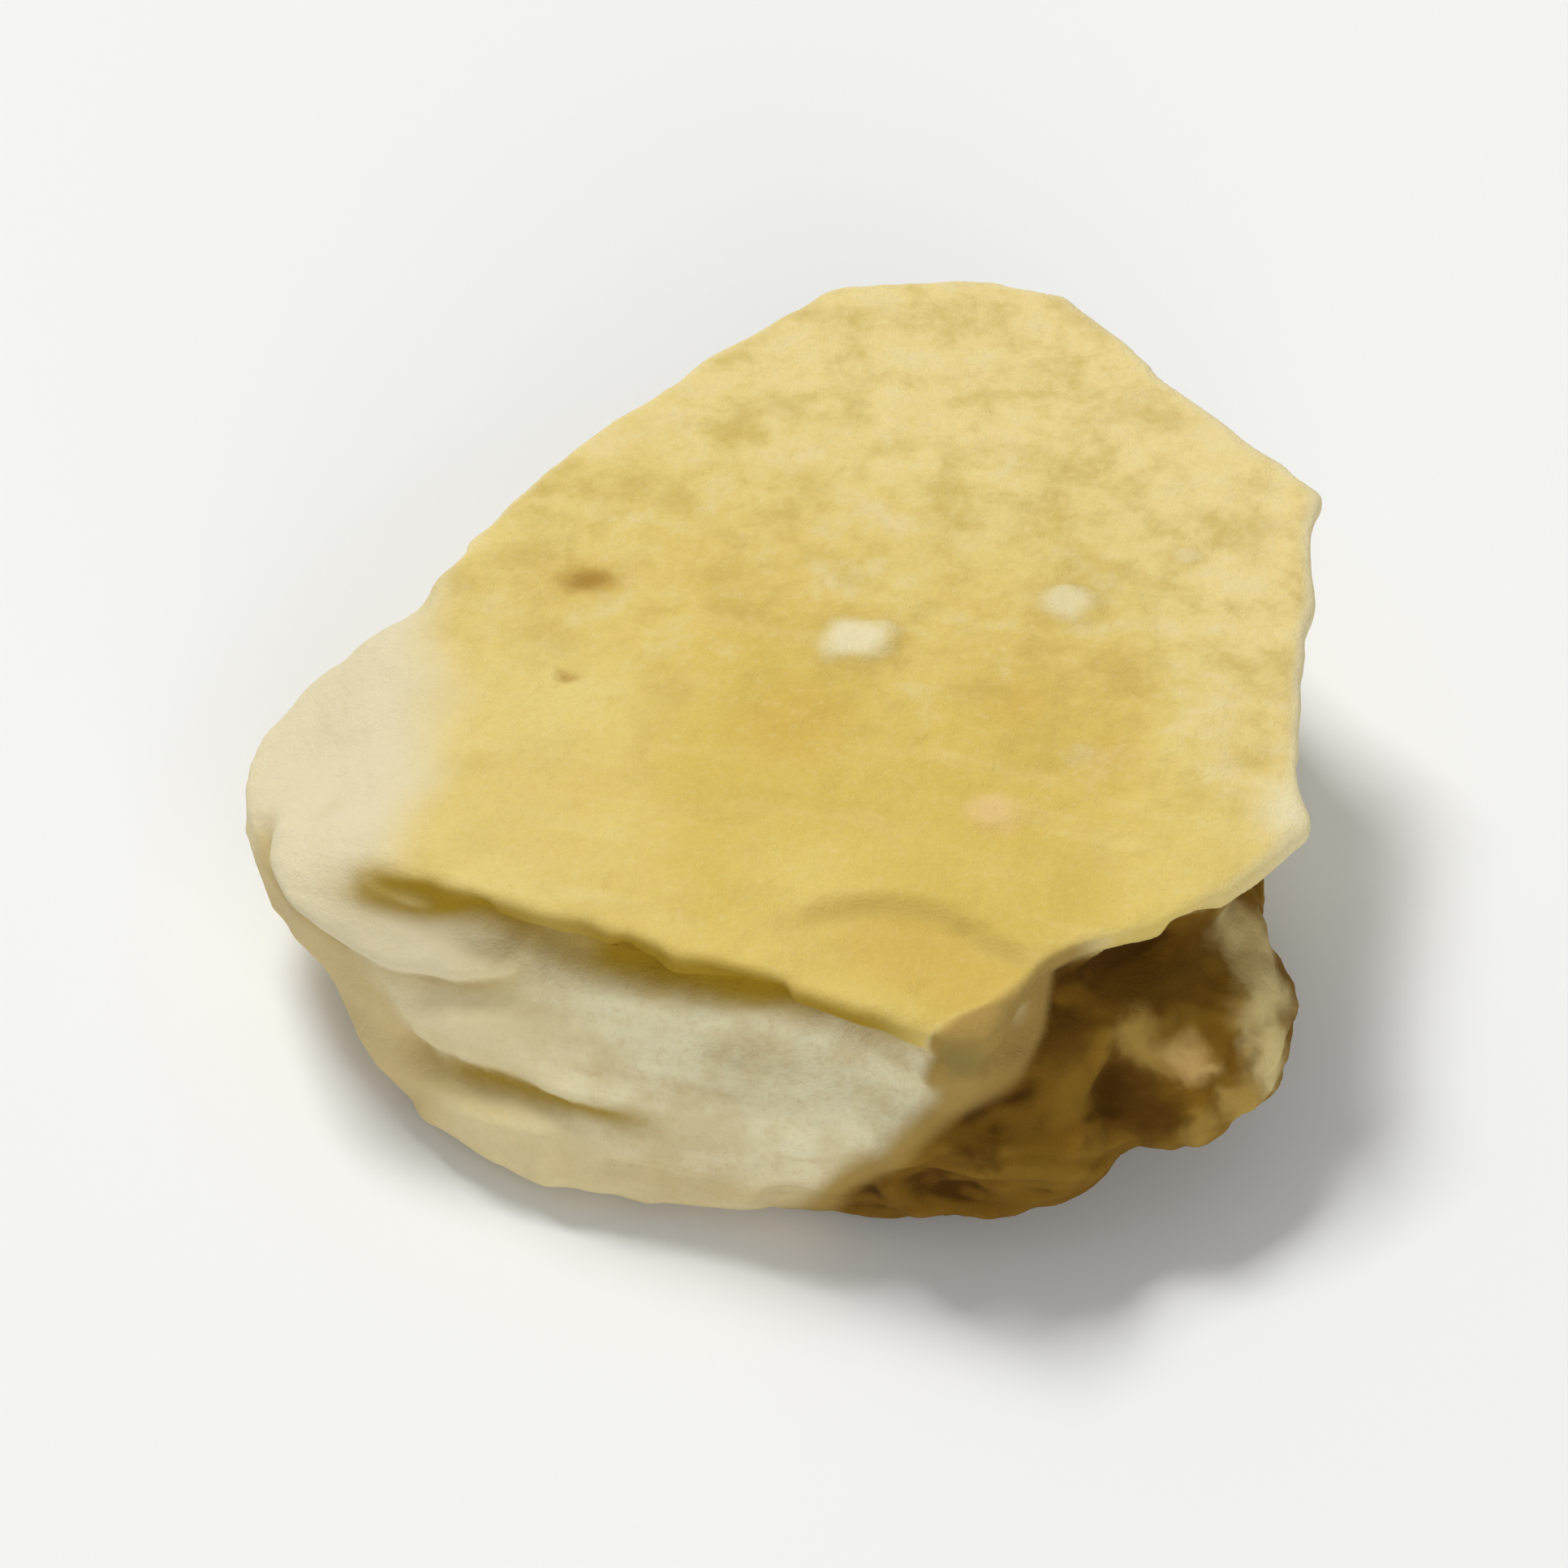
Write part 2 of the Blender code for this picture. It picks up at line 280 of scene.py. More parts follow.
class Surface:
    """The points of a mesh with their normals and neighbours, as arrays."""

    def __init__(self, mesh):
        self.mesh = mesh
        self.points = np.empty(len(mesh.vertices) * 3)
        mesh.vertices.foreach_get("co", self.points)
        self.points = self.points.reshape(-1, 3)
        self.edges = np.empty(len(mesh.edges) * 2, np.int64)
        mesh.edges.foreach_get("vertices", self.edges)
        self.edges = self.edges.reshape(-1, 2)
        self.degree = np.bincount(self.edges.ravel(), minlength=len(self.points))
        self.read_normals()

    def read_normals(self):
        """Reads the normals of the points where they are now."""
        self.normals = np.empty(len(self.mesh.vertices) * 3)
        self.mesh.vertex_normals.foreach_get("vector", self.normals)
        self.normals = self.normals.reshape(-1, 3)

    def move(self, points):
        """Puts the points at new places."""
        self.points = points
        self.mesh.vertices.foreach_set("co", points.ravel())
        self.mesh.update()
        self.read_normals()

    def averaged(self, values, rounds):
        """The values with each one drawn to its neighbours' mean, so many times over."""
        columns = values.reshape(len(values), -1).astype(float)
        start, end = self.edges.T
        for _ in range(rounds):
            total = np.zeros_like(columns)
            for column in range(columns.shape[1]):
                total[:, column] += np.bincount(start, columns[end, column], len(columns))
                total[:, column] += np.bincount(end, columns[start, column], len(columns))
            columns = 0.5 * columns + 0.5 * total / self.degree[:, None]
        return columns.reshape(values.shape)

    def standing_out(self, rounds):
        """How far each point stands out of its smoothed surroundings, below 0 in hollows."""
        return ((self.points - self.averaged(self.points, rounds)) * self.normals).sum(axis=1)

    def keep(self, name, values):
        """Keeps a mask on the mesh for the shader."""
        mask = self.mesh.attributes.new(name, "FLOAT", "POINT")
        mask.data.foreach_set("value", np.clip(values, 0, 1).astype(np.float32))


def cloud(points, stretch, seed):
    """Noise at the points, with so many cells to a millimetre along x, y and z."""
    places = points * np.array(stretch) + np.array([seed * 3.1, seed * 7.7, seed * 5.3])
    return np.array([noise.noise(Vector(place)) for place in places])


def along_grain(points):
    """The points turned so that the fibres run along x."""
    turn = np.array([
        [math.cos(GRAIN_ANGLE), math.sin(GRAIN_ANGLE), 0],
        [-math.sin(GRAIN_ANGLE), math.cos(GRAIN_ANGLE), 0],
        [0, 0, 1],
    ])
    return points @ turn.T


def distance_to_line(points, line):
    """How far each point, seen from above, is from a line of (x, y), and on which side of it."""
    best = np.full(len(points), np.inf)
    side = np.zeros(len(points))
    for (ax, ay), (bx, by) in zip(line, line[1:]):
        run = np.array([bx - ax, by - ay])
        offset = points[:, :2] - (ax, ay)
        share = np.clip(offset @ run / (run @ run), 0, 1)
        gap = offset - share[:, None] * run
        reach = np.hypot(gap[:, 0], gap[:, 1])
        closer = reach < best
        best[closer] = reach[closer]
        side[closer] = np.sign(run[0] * offset[closer, 1] - run[1] * offset[closer, 0])
    return best, side


def height_over(line, x):
    """How high a line of (x, z) runs over each x."""
    return np.interp(x, *zip(*line))


def along(way, points):
    """How far each point lies out on a way."""
    return way[0] * points[:, 0] + way[1] * points[:, 1]


def facing_front(points):
    """1 on the front wall and its ledge, 0 elsewhere."""
    return rise(along(FRONT_WAY, points), *FRONT_WALL)


def masks(points):
    """The shares of cut face, of bark and of the tan strip beside the bark at each point."""
    x, y, z = points.T
    ragged = EDGE_WANDER * cloud(points, (1.6, 1.6, 1.6), seed=1)
    border = np.interp(y, *zip(*sorted(SHOULDER_LINE)))
    face = rise(z, *FACE_LEVEL) * rise(x - border + ragged, *SHOULDER_SOFT)
    tip = rise(along(TIP_WAY, points) + 0.5 * ragged, *TIP_END)
    tip *= (1 - rise(x, 2.2, 2.6)) * rise(z, 1.6, 2.4)
    face *= 1 - tip
    under_face = BARK_UNDER_FACE * rise(x, 2.1, 2.8) * rise(z, 1.7, 2.3)
    start = BARK_EDGE + BARK_LEAN * np.minimum(z, 2.3) - under_face
    past = along(CORNER_WAY, points) - start + 0.9 * ragged
    bark = rise(past, 0, 0.22) * (1 - rise(z, 2.60, 2.72))
    strip_start = -STRIP_WIDTH - 0.15 * rise(z, 1.9, 2.4)
    strip = np.maximum(tip, rise(past, strip_start - 0.12, strip_start + 0.18))
    return face, bark, strip * (1 - rise(x, 2.6, 3.1))


def shaded_bands(points):
    """The shares of painted shade under the ledge, below the thin layer's edge, along the ridge and in
    the lip's groove, which is also carved.
    """
    x, _, z = points.T
    front = facing_front(points)
    wander = 0.10 * cloud(points, (0.9, 0.9, 0.9), seed=14)
    low = height_over(LEDGE_SHADE_LINE, x) + 0.8 * wander
    ledge = front * between(x, *LEDGE_SHADE_SPAN) * rise(z, low - 0.18, low + 0.06)
    ledge *= 1 - 0.2 * (1 - rise(np.abs(x + 2.05), 0.15, 0.5))
    below = height_over(LAYER_LINE, x) + wander - z
    layer = front * (1 - rise(x, -2.6, -2.1)) * between(below, (-0.04, 0.03), (0.05, 0.3))
    from_ridge = np.abs(z - height_over(RIDGE_LINE, x) + 0.10)
    ridge = front * between(x, *RIDGE_SPAN) * (1 - rise(from_ridge, 0.02, 0.20))
    from_lip = np.abs(z - height_over(LIP_LINE, x) - 0.5 * wander)
    lip = front * between(x, *LIP_SPAN) * (1 - rise(from_lip, 0.0, 0.22))
    return ledge, layer, ridge, lip


def fold(points):
    """The shares of the lowered ground before the fold near the front tip, and of the fold itself, along
    which shade is painted.
    """
    reach, side = distance_to_line(points, FOLD_LINE)
    before = -side * reach
    within = between(points[:, 0], *FOLD_SPAN)
    lowered = within * rise(before, -0.12, 0.12) * (1 - rise(reach, 0.5, 1.3))
    return lowered, within * (1 - rise(np.abs(before - 0.03), 0.0, 0.22))


def face_relief(points, level):
    """The low relief of the cut face, with waves and nicks at its edge, where it isn't level."""
    x, y = points[:, 0], points[:, 1]
    height = 0.035 * cloud(points, (0.6, 0.6, 0.6), seed=2)
    height += 0.010 * cloud(along_grain(points), (1.2, 4.5, 4.5), seed=3)
    height += 0.030 * cloud(points, (2.2, 2.2, 2.2), seed=15) * rise(along(BACK_WAY, points), -1.8, 0.6)
    height += 0.012 * cloud(points, (5, 5, 5), seed=4)
    height -= PORE_DEPTH * rise(cloud(points, (3.2, 3.2, 3.2), seed=5), 0.38, 0.62)
    height -= FOLD_DEPTH * fold(points)[0]
    from_crease, _ = distance_to_line(points, CREASE_LINE)
    height -= CREASE_DEPTH * (1 - rise(from_crease, 0, CREASE_REACH))
    ragged = cloud(points, (3, 3, 3), seed=6)
    lumpy = cloud(points, (5, 5, 5), seed=22)
    for centre, radius, stand, _ in GRANULES + [PINK_BUMP]:
        away = np.hypot(x - centre[0], (y - centre[1]) * GRANULE_SQUEEZE) + 0.45 * radius * ragged
        height += stand * (1 - rise(away, radius * 0.55, radius * 0.9)) * (1 + 0.5 * lumpy)
    from_pit = np.hypot(x - DARK_PIT[0], y - DARK_PIT[1])
    height -= PIT_DEPTH * (1 - rise(from_pit, 0.03, 0.12))
    from_fleck = np.hypot((x - BROWN_FLECK[0]) * 0.6, y - BROWN_FLECK[1])
    height -= FLECK_DEPTH * (1 - rise(from_fleck, 0.05, 0.14))
    waves = 0.08 * cloud(points, (1.0, 1.0, 0.5), seed=16)
    waves += 0.05 * cloud(points, (2.6, 2.6, 1.5), seed=17)
    nicks = 0.10 * rise(cloud(points, (1.7, 1.7, 0.8), seed=18), 0.3, 0.6)
    return level * height + (1 - level) * (waves - nicks) * rise(x, -3.8, -2.8)


def flesh_relief(points):
    """Torn layers, fibres and chalky grain, calmer on the shoulder."""
    x, _, z = points.T
    grain = along_grain(points)
    front = facing_front(points)
    height = 0.07 * np.abs(cloud(grain, (0.6, 1.4, 1.8), seed=7)) - 0.04
    height += 0.025 * cloud(grain, (0.9, 2.2, 2.6), seed=8)
    height *= 1 - 0.7 * rise(-x, 2.9, 3.7) * rise(z, 0.8, 1.6)
    layer = (1 - rise(x, -2.5, -2.0)) * (1 - rise(z, 2.0, 2.7))
    layer *= rise(z - height_over(LAYER_LINE, x), -0.08, 0.08)
    ridge = (1 - rise(x, -3.3, -2.8)) * rise(z - height_over(RIDGE_LINE, x), -0.10, 0.06)
    height += front * (LAYER_STEP * layer + RIDGE_STEP * ridge)
    height += 0.03 * rise(x, -2.7, -2.1) * between(z, (1.0, 1.4), (2.2, 2.5))
    height += 0.035 * cloud(points, (1.8, 1.8, 1.8), seed=19)
    height += 0.014 * cloud(points, (5, 5, 5), seed=20)
    height += 0.007 * cloud(points, (8, 8, 8), seed=9)
    *_, lip = shaded_bands(points)
    return height - LIP_GROOVE * lip


def bark_relief(points):
    """Rounded wrinkles with narrow furrows between them."""
    folds = np.minimum(np.abs(cloud(points, (0.9, 1.1, 1.6), seed=11)), 0.4)
    wrinkles = np.minimum(np.abs(cloud(points, (1.9, 2.1, 3.2), seed=21)), 0.35)
    height = 0.16 * folds + 0.12 * wrinkles - 0.06
    height += 0.04 * cloud(points, (1.5, 1.5, 2.0), seed=12)
    height += 0.020 * cloud(points, (4.5, 4.5, 5.5), seed=13)
    height += 0.008 * cloud(points, (9, 9, 9), seed=23)
    return height


def melt(surface, share, rounds):
    """Softens the surface where the share is above 0."""
    softer = surface.averaged(surface.points, rounds)
    surface.move(surface.points + share[:, None] * (softer - surface.points))


def melt_lumps(surface):
    """Softens the bark at the front right corner, and the left end of the ledge."""
    corner = rise(along(CORNER_WAY, surface.points), *CORNER_SOFT)
    corner *= 1 - rise(surface.points[:, 2], 2.3, 2.5)
    melt(surface, CORNER_SOFT_SHARE * corner, CORNER_SOFT_ROUNDS)
    from_end = np.linalg.norm(surface.points - LEDGE_END, axis=1)
    melt(surface, 1 - rise(from_end, 0.4 * LEDGE_END_REACH, LEDGE_END_REACH), LEDGE_END_ROUNDS)


def carve(surface):
    """Raises the relief on the surface, and keeps it above the floor."""
    points = surface.points
    face, bark, strip = masks(points)
    level = surface.averaged(rise(surface.normals[:, 2], 0.3, 0.75), rounds=4)
    wall = (1 - bark) * (flesh_relief(points) + STRIP_STEP * strip) + bark * bark_relief(points)
    height = surface.averaged(face * face_relief(points, level) + (1 - face) * wall, rounds=1)
    moved = points + height[:, None] * surface.normals
    moved[:, 2] = np.maximum(moved[:, 2], 0)
    surface.move(moved)


def keep_masks(surface):
    """Keeps on the mesh what the shader's colours go by."""
    points = surface.points
    x, _, z = points.T
    face, bark, strip = masks(points)
    strip = np.clip(strip * (1 + 3 * face * (1 - rise(x, 1.8, 2.5))), 0, 1)
    level = surface.averaged(rise(surface.normals[:, 2], 0.5, 0.8), rounds=2)
    face *= 1 - strip * (1 - level)
    surface.keep("face", face)
    surface.keep("inner", surface.averaged(face * level, rounds=14))
    surface.keep("bark", bark)
    surface.keep("strip", strip)
    # Painted shade: under the ledge and over the left end of the face's rim, weaker below the thin layer,
    # and in the lip's groove
    ledge, layer, ridge_shade, lip = shaded_bands(points)
    open_side = 1 - level * np.maximum(face, rise(z, 2.42, 2.58) * (1 - rise(x, -2.9, -2.4)))
    from_rim, _ = distance_to_line(points, RIM_SHADE_LINE)
    rim_shade = (1 - rise(from_rim, 0.02, 0.20)) * rise(z, 2.50, 2.62) * rise(x, -4.3, -3.8)
    high_shade = surface.averaged(np.maximum(ledge * open_side, 0.65 * rim_shade), rounds=6)
    low_shade = np.maximum(0.30 * layer, 0.9 * lip)
    surface.keep("painted_shade", np.maximum(high_shade, low_shade))
    # The beige left foot below the ridge, and the painted shade just under the ridge
    foot = rise(height_over(RIDGE_LINE, x) - z, -0.05, 0.20) * rise(-x, 2.9, 3.4)
    surface.keep("foot", np.maximum(foot * facing_front(points), 0.7 * ridge_shade))
    lowered, fold_shade = fold(points)
    surface.keep("lowered", lowered * level)
    # The fold's line, where shade is painted
    surface.keep("fold", fold_shade * level)
    surface.keep("ridge", 0.5 + surface.standing_out(rounds=12) / 0.08)
    surface.keep("swell", 0.5 + surface.standing_out(rounds=90) / 0.5)


class Value:
    """A shader socket that sums can be written with: an expression on it adds its Math nodes."""

    def __init__(self, finish, socket):
        self.finish = finish
        self.socket = socket

    def __add__(self, other):
        return self.finish.math("ADD", self, other)

    def __sub__(self, other):
        return self.finish.math("SUBTRACT", self, other)

    def __rsub__(self, other):
        return self.finish.math("SUBTRACT", other, self)

    def __mul__(self, other):
        return self.finish.math("MULTIPLY", self, other)

    __radd__ = __add__
    __rmul__ = __mul__


class Finish:
    """A material and the nodes that make it."""

    def __init__(self, name):
        self.material = bpy.data.materials.new(name)
        self.material.use_nodes = True
        self.nodes = self.material.node_tree.nodes
        self.links = self.material.node_tree.links
        self.shader = self.nodes["Principled BSDF"]

    def feed(self, socket, value):
        """Links a Value to the socket, or sets a number, a colour or a vector on it."""
        if isinstance(value, Value):
            self.links.new(value.socket, socket)
        elif socket.type == "RGBA":
            socket.default_value = (*value, 1)
        else:
            socket.default_value = value

    def add(self, kind, settings, inputs, output=0):
        """Adds a node of a kind: first its settings, then the values or links of its sockets."""
        node = self.nodes.new(kind)
        for name, setting in settings.items():
            setattr(node, name, setting)
        for name, value in inputs.items():
            self.feed(node.inputs[name], value)
        return Value(self, node.outputs[output])

    def math(self, operation, first, second):
        """One step of a sum, on values or numbers."""
        return self.add("ShaderNodeMath", {"operation": operation}, {0: first, 1: second})

    def vector(self, operation, first, second=(0, 0, 0), output=0):
        """One step of a sum, on places or colours."""
        return self.add("ShaderNodeVectorMath", {"operation": operation}, {0: first, 1: second}, output)

    def mix(self, share, first, second):
        """The first colour, turning to the second as the share goes from 0 to 1."""
        return self.add("ShaderNodeMix", {"data_type": "RGBA"}, {0: share, 6: first, 7: second}, output=2)

    def rise(self, value, start, end):
        """From 0 at start to 1 at end, with a smooth turn at both."""
        inputs = {"Value": value, "From Min": start, "From Max": end}
        return self.add("ShaderNodeMapRange", {"interpolation_type": "SMOOTHSTEP"}, inputs)

    def mask(self, name):
        """A mask that was kept on the mesh."""
        return self.add("ShaderNodeAttribute", {"attribute_name": name}, {}, output="Fac")

    def place(self):
        """The place on the chip, in millimetres."""
        position = self.add("ShaderNodeTexCoord", {}, {}, output="Object")
        return self.vector("MULTIPLY", position, (MM_PER_METRE,) * 3)

    def noise(self, place, scale, detail=3, roughness=0.55):
        """Noise with so many cells to a millimetre along x, y and z."""
        inputs = {"Vector": self.vector("MULTIPLY", place, scale), "Scale": 1}
        inputs.update({"Detail": detail, "Roughness": roughness})
        return self.add("ShaderNodeTexNoise", {}, inputs)

    def spot(self, place, centre, radius, soft=0.5, squeeze=(1, 1, 0)):
        """1 inside a spot, falling to 0 at its radius. An axis with a squeeze of 0 doesn't count."""
        centre = [c * s for c, s in zip((*centre, 0), squeeze)]
        reach = self.vector("DISTANCE", self.vector("MULTIPLY", place, squeeze), centre, output="Value")
        return 1 - self.rise(reach, radius * (1 - soft), radius)

    def frayed(self, place, amount, scale):
        """The place, pushed about by noise, so that what is drawn there has an uneven edge."""
        inputs = {"Vector": self.vector("MULTIPLY", place, (scale,) * 3), "Scale": 1, "Detail": 2}
        push = self.add("ShaderNodeTexNoise", {}, inputs, output="Color")
        centred = self.vector("SUBTRACT", push, (0.5, 0.5, 0.5))
        return self.vector("ADD", place, self.vector("MULTIPLY", centred, (amount,) * 3))


def face_colour(finish, place, grain, inner):
    """The yellow of the cut face: paler at the back and the right, with its small marks, painted shade
    round the granules and along the fold, and a pale rim that is partly broken skin and partly painted
    highlight.
    """
    broad = finish.noise(place, (0.5, 0.5, 0.5), detail=2)
    colour = finish.mix(finish.rise(broad, 0.35, 0.65), FACE_DEEP, FACE_PALE)
    slope = finish.vector("DOT_PRODUCT", place, (*BACK_WAY, 0), output="Value")
    upper = finish.rise(slope, -1.8, 0.8)
    colour = finish.mix(finish.rise(slope, -1.0, 4.6) * 0.8, colour, FACE_BACK)
    left = finish.rise(finish.vector("DOT_PRODUCT", place, (-1, -0.1, 0), output="Value"), 0.8, 2.6)
    colour = finish.mix(left * 0.35, colour, FACE_BACK)
    right = finish.rise(finish.vector("DOT_PRODUCT", place, (1, 0.2, 0), output="Value"), 2.8, 4.6)
    colour = finish.mix(right * 0.6, colour, FACE_BACK)
    streaks = finish.noise(grain, (0.5, 3.0, 3.0), detail=4)
    colour = finish.mix(finish.rise(streaks, 0.48, 0.78) * 0.3, colour, FACE_BACK)
    for centre, radius in ORANGE_PLACES:
        colour = finish.mix(finish.spot(place, centre, radius, soft=1) * 0.5, colour, FACE_ORANGE)
    stains = finish.noise(place, (1.3, 1.5, 1.3), detail=4)
    colour = finish.mix(finish.rise(stains, 0.48, 0.70) * (upper * 0.25 + 0.2), colour, FACE_PORE_AND_SHADE)
    mottle = finish.noise(place, (1.8, 2.1, 1.8), detail=6, roughness=0.62)
    colour = finish.mix(finish.rise(mottle, 0.46, 0.70) * (upper * 0.5 + 0.08), colour, FACE_PORE_AND_SHADE)
    colour = finish.mix(finish.rise(0.5 - mottle, 0.0, 0.2) * upper * 0.45, colour, FACE_CREAM_AND_HIGHLIGHT)
    meal = finish.noise(place, (11, 12, 11), detail=4, roughness=0.7)
    colour = finish.mix(finish.rise(meal, 0.5, 0.75) * 0.2, colour, FACE_CREAM_AND_HIGHLIGHT)
    colour = finish.mix(finish.rise(0.5 - meal, 0.02, 0.2) * 0.15, colour, FACE_PORE_AND_SHADE)
    colour = finish.mix(finish.mask("lowered") * 0.32, colour, FACE_ORANGE)
    # Painted shade along the fold
    colour = finish.mix(finish.mask("fold") * 0.7, colour, FACE_PORE_AND_SHADE)
    loose = finish.frayed(place, 0.22, 4)
    for centre, radius, _, whiteness in GRANULES:
        # Painted shadow in a ring round each granule
        shade = finish.spot(loose, centre, radius * 1.5, soft=0.6, squeeze=(1, 1.2, 0))
        colour = finish.mix(shade * 0.4, colour, FACE_PORE_AND_SHADE)
        white = finish.spot(loose, centre, radius, soft=0.7, squeeze=(1, GRANULE_SQUEEZE, 0))
        colour = finish.mix(white * whiteness, colour, GRANULE_WHITE)
    colour = finish.mix(finish.spot(loose, PINK_BUMP[0], PINK_BUMP[1], soft=0.8) * 0.8, colour, PINK)
    colour = finish.mix(finish.spot(loose, WHITE_CORNER, 0.7, soft=0.9) * 0.7, colour, FLESH_CHALK)
    halo = finish.spot(loose, BROWN_FLECK, 0.5, soft=1, squeeze=(0.7, 1.3, 0))
    colour = finish.mix(halo * 0.5, colour, FACE_ORANGE)
    fleck = finish.spot(loose, BROWN_FLECK, 0.26, soft=1, squeeze=(0.6, 1.2, 0))
    colour = finish.mix(fleck * 0.7, colour, FLECK_BROWN)
    colour = finish.mix(finish.spot(loose, DARK_PIT, 0.18, soft=1) * 0.45, colour, FLECK_BROWN)
    # A pale rim along the back and right edges, partly broken skin and partly painted highlight
    rim_and_highlight = (1 - finish.rise(inner, 0.5, 0.98)) * (upper * 0.45 + right * 0.5 + 0.05)
    return finish.mix(rim_and_highlight, colour, FACE_CREAM_AND_HIGHLIGHT)


def flesh_colour(finish, place, grain, ridge, swell):
    """Chalky cream with shades and ochre threads, beige at the left foot with painted shade under its
    ridge, and creamy on the shoulder.
    """
    threads = finish.noise(grain, (0.6, 3.5, 4.5), detail=5, roughness=0.6)
    clouds = finish.noise(place, (1.4, 1.4, 1.8), detail=5, roughness=0.6)
    colour = finish.mix(finish.rise(threads * 0.15 + clouds * 0.85, 0.36, 0.58), FLESH_SHADE, FLESH_CHALK)
    meal = finish.noise(place, (12, 12, 12), detail=4, roughness=0.7)
    colour = finish.mix(finish.rise(0.5 - meal, 0.0, 0.2) * 0.35, colour, FLESH_BEIGE)
    blotches = finish.noise(place, (0.9, 0.9, 1.2), detail=3)
    colour = finish.mix(finish.rise(blotches, 0.5, 0.75) * 0.5, colour, FLESH_BEIGE)
    ochre = finish.noise(grain, (0.35, 1.6, 2.6), detail=4)
    colour = finish.mix(finish.rise(ochre, 0.58, 0.74) * 0.4, colour, FLESH_OCHRE)
    leftward = finish.vector("DOT_PRODUCT", place, (-1, 0, 0), output="Value")
    high = finish.vector("DOT_PRODUCT", place, (0, 0, 1), output="Value")
    colour = finish.mix((1 - finish.rise(high, 0.5, 1.4)) * 0.6, colour, FLESH_BEIGE)
    colour = finish.mix(finish.rise(leftward, 1.2, 2.6) * 0.65, colour, FLESH_WARM)
    shoulder = finish.rise(leftward, 2.6, 3.3) * finish.rise(high, 1.3, 2.0)
    colour = finish.mix(shoulder * 0.75, colour, SHOULDER_CREAM)
    # Beige at the left foot, with painted shade in a band just under the ridge
    colour = finish.mix(finish.mask("foot") * 0.7, colour, FLESH_BEIGE)
    colour = finish.mix(finish.rise(0.5 - ridge, 0.08, 0.5) * 0.6, colour, FLESH_OCHRE)
    return finish.mix(finish.rise(0.5 - swell, 0.1, 0.45) * 0.6, colour, FLESH_OCHRE)


def bark_colour(finish, place, ridge, swell):
    """Brown, dark in the wrinkles and ochre on the ridges, with its marks, some of them painted shade
    under the cut face's edge and in a pit.
    """
    crust = finish.noise(place, (0.9, 1.0, 1.3), detail=5, roughness=0.55)
    level = crust * 0.55 + ridge * 0.3 + swell * 0.35
    colour = finish.mix(finish.rise(level, 0.42, 0.58), BARK_DARK_AND_SHADE, BARK_BROWN)
    colour = finish.mix(finish.rise(level, 0.60, 0.80), colour, BARK_OCHRE)
    colour = finish.mix(finish.rise(level, 0.80, 0.98), colour, BARK_GOLD)
    loose = finish.frayed(finish.frayed(place, 0.75, 1.3), 0.25, 5)
    for centre, radius, paint, strength in BARK_MARKS:
        mark = finish.spot(loose, centre, radius, soft=0.8, squeeze=(1, 1, 1))
        colour = finish.mix(mark * strength, colour, paint)
    return colour


def dried_root_finish():
    """The dull finish of the whole chip, which lets a little light in."""
    finish = Finish("dried_root")
    place = finish.place()
    turned = {"Vector": place, "Rotation": (0, 0, -GRAIN_ANGLE)}
    grain = finish.add("ShaderNodeMapping", {}, turned)
    face, bark = finish.mask("face"), finish.mask("bark")
    ridge, swell = finish.mask("ridge"), finish.mask("swell")
    flesh = flesh_colour(finish, place, grain, ridge, swell)
    flesh = finish.mix(finish.mask("strip"), flesh, STRIP_TAN)
    wall = finish.mix(bark, flesh, bark_colour(finish, place, ridge, swell))
    colour = finish.mix(face, wall, face_colour(finish, place, grain, finish.mask("inner")))
    loose = finish.frayed(place, 0.25, 2.5)
    # Painted shade, grey, on the wall below the front tip
    tip_shade = finish.spot(loose, TIP_SHADE_PLACE, TIP_SHADE_RADIUS, soft=0.9, squeeze=(1, 1, 1))
    colour = finish.mix(tip_shade * 0.8, colour, TIP_SHADE_GREY)
    # Painted shade in olive under the ledge, below the thin layer and in the lip's groove
    colour = finish.mix(finish.mask("painted_shade"), colour, PAINTED_SHADE_OLIVE)
    finish.feed(finish.shader.inputs["Base Color"], colour)
    mottled = finish.noise(place, (5, 5, 5), detail=3)
    finish.feed(finish.shader.inputs["Roughness"], 0.95 - face * 0.15 - mottled * 0.1)

    threads = finish.noise(grain, (1.2, 8.0, 10.0), detail=5, roughness=0.7)
    meal = finish.noise(place, (7, 7, 7), detail=6, roughness=0.75)
    height = (1 - face) * threads * 0.3 + meal
    bumpy = {"Strength": BUMP_STRENGTH, "Distance": BUMP_HEIGHT, "Height": height}
    bump = finish.add("ShaderNodeBump", {}, bumpy)
    finish.feed(finish.shader.inputs["Normal"], bump)
    finish.shader.inputs["Specular IOR Level"].default_value = SHINE
    finish.shader.inputs["Subsurface Weight"].default_value = GLOW_SHARE
    finish.shader.inputs["Subsurface Radius"].default_value = GLOW_TINT
    finish.shader.inputs["Subsurface Scale"].default_value = GLOW_DEPTH
    return finish.material


def make_chip():
    """The finer chip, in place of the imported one."""
    piece = fine_copy(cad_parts["root_chip"], "dried_root_chip")
    surface = Surface(piece.data)
    melt_lumps(surface)
    carve(surface)
    keep_masks(surface)
    piece.data.transform(Matrix.Scale(1 / MM_PER_METRE, 4))
    piece.data.polygons.foreach_set("use_smooth", [True] * len(piece.data.polygons))
    piece.data.materials.clear()
    piece.data.materials.append(dried_root_finish())
    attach(piece, "root")
    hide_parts("root_chip")


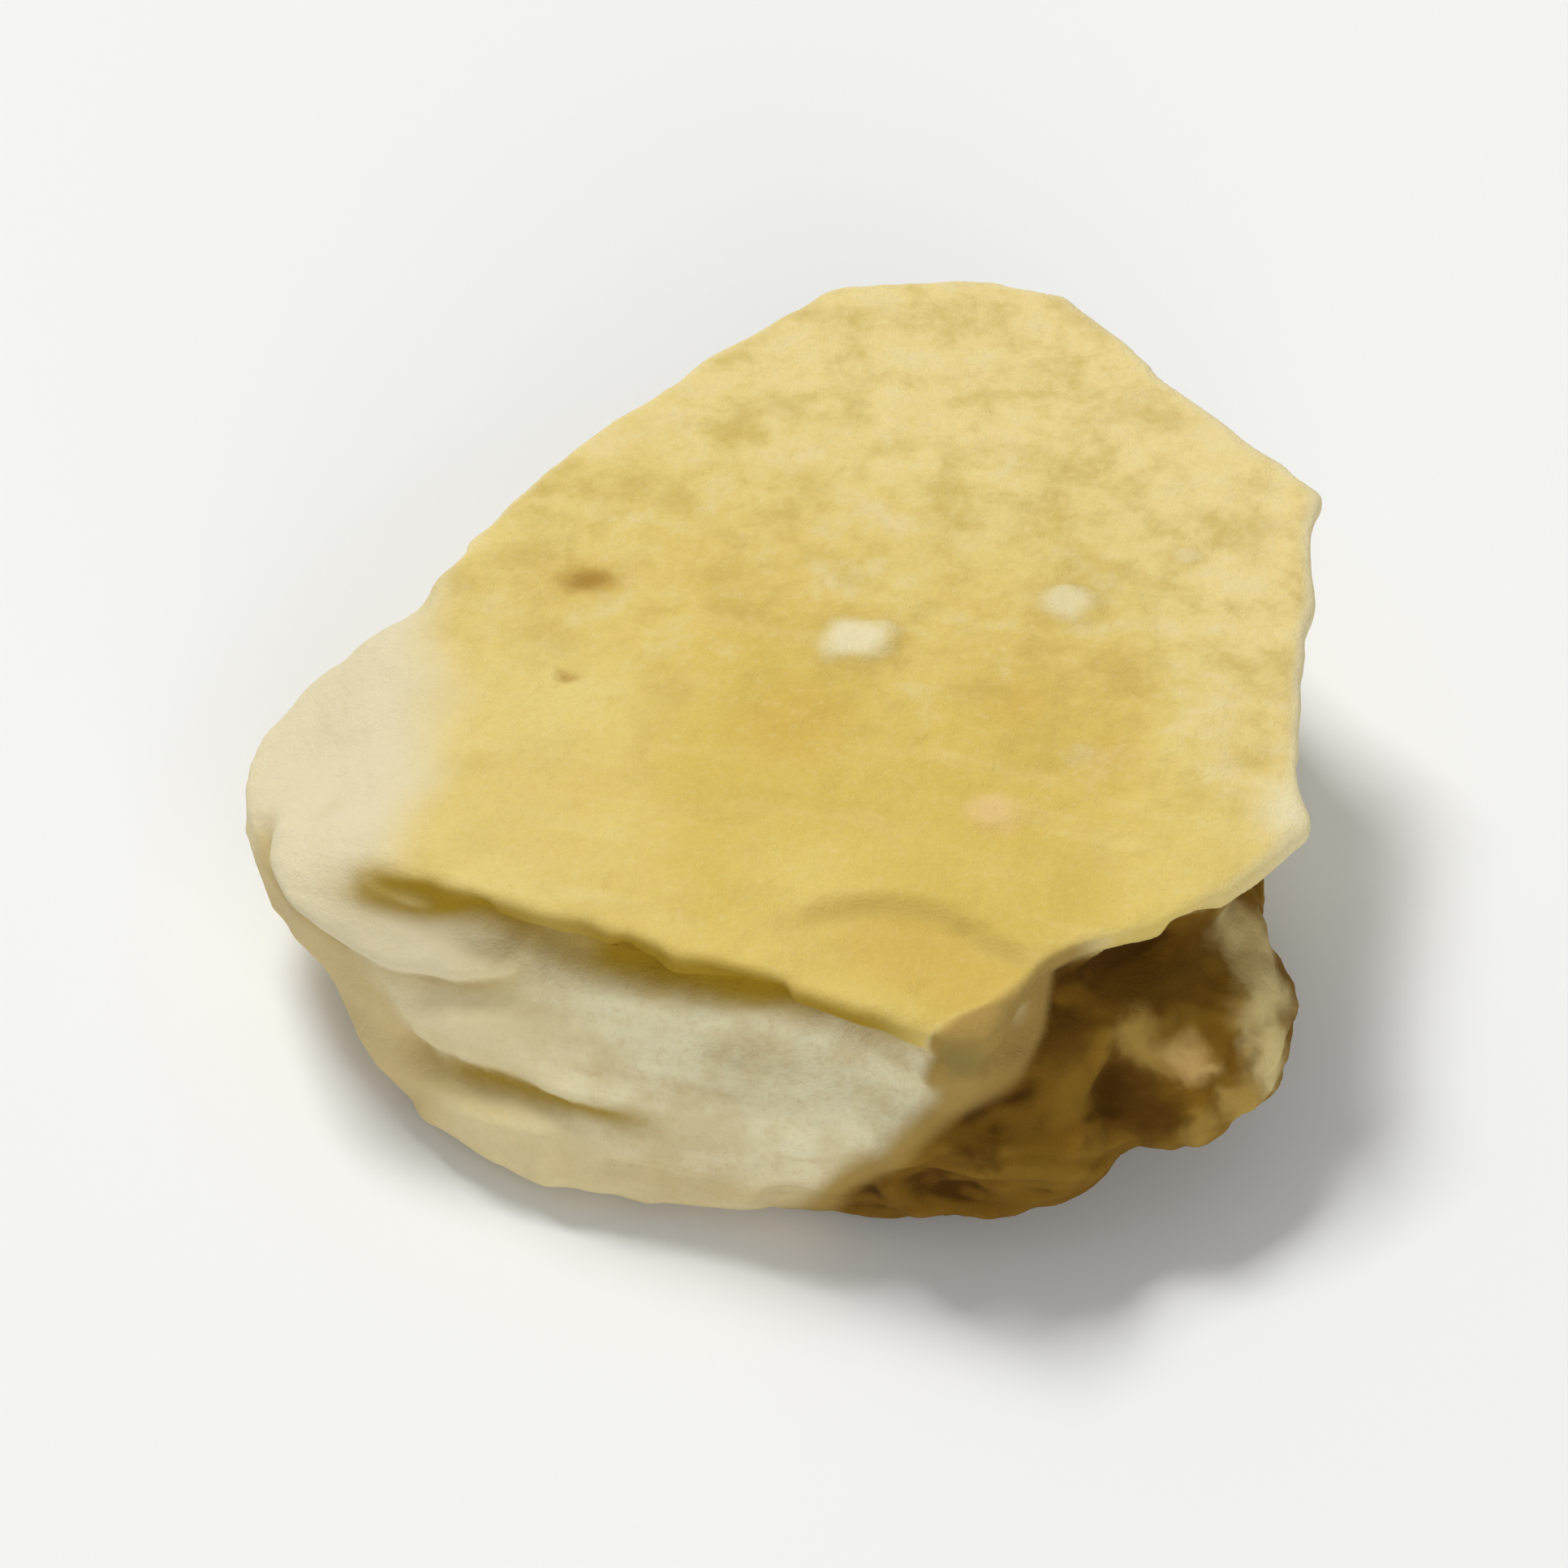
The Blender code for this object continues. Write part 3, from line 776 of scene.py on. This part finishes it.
def make_floor():
    """A plain pale floor, just under the chip."""
    mesh = bpy.data.meshes.new("floor")
    signs = [(-1, -1), (1, -1), (1, 1), (-1, 1)]
    corners = [(FLOOR_REACH * across, FLOOR_REACH * back, -FLOOR_DROP) for across, back in signs]
    mesh.from_pydata(corners, [], [(0, 1, 2, 3)])
    floor = bpy.data.objects.new("floor", mesh)
    bpy.context.scene.collection.objects.link(floor)
    finish = Finish("floor_pale")
    finish.shader.inputs["Base Color"].default_value = (*FLOOR_PALE, 1)
    finish.shader.inputs["Roughness"].default_value = FLOOR_ROUGHNESS
    mesh.materials.append(finish.material)


def aim(obj, target):
    """Turns a light or the camera to look at the target."""
    away = obj.location - Vector(target)
    obj.rotation_euler = away.to_track_quat("Z", "Y").to_euler()


def make_light(name, place, size, watts):
    """A square lamp that shines on the chip."""
    lamp = bpy.data.lights.new(name, "AREA")
    lamp.size = size
    lamp.energy = watts
    light = bpy.data.objects.new(name, lamp)
    light.location = place
    bpy.context.scene.collection.objects.link(light)
    aim(light, (0, 0, 0))


def make_studio():
    """Soft light from above and behind, with a weaker fill from the front, and an even glow all round."""
    for name, place, size, watts in LAMPS:
        make_light(name, place, size, watts)
    world = bpy.data.worlds.new("room")
    world.use_nodes = True
    backdrop = world.node_tree.nodes["Background"]
    backdrop.inputs["Color"].default_value = (*ROOM_TINT, 1)
    backdrop.inputs["Strength"].default_value = ROOM_GLOW
    bpy.context.scene.world = world
    bpy.context.scene.view_settings.view_transform = "Standard"


def make_camera():
    """A long lens that looks down at the cut face, as the photo does."""
    target = Vector(CAMERA_TARGET)
    towards_camera = Vector((0, -math.cos(CAMERA_ELEVATION), math.sin(CAMERA_ELEVATION)))
    lens = bpy.data.cameras.new("camera")
    lens.sensor_width = SENSOR_WIDTH
    lens.lens = SENSOR_WIDTH * CAMERA_DISTANCE / FRAME_WIDTH
    lens.clip_start = 0.01
    lens.clip_end = 10
    camera = bpy.data.objects.new("camera", lens)
    camera.location = target + CAMERA_DISTANCE * towards_camera
    bpy.context.scene.collection.objects.link(camera)
    aim(camera, target)
    bpy.context.scene.camera = camera


make_chip()
make_floor()
make_studio()
make_camera()
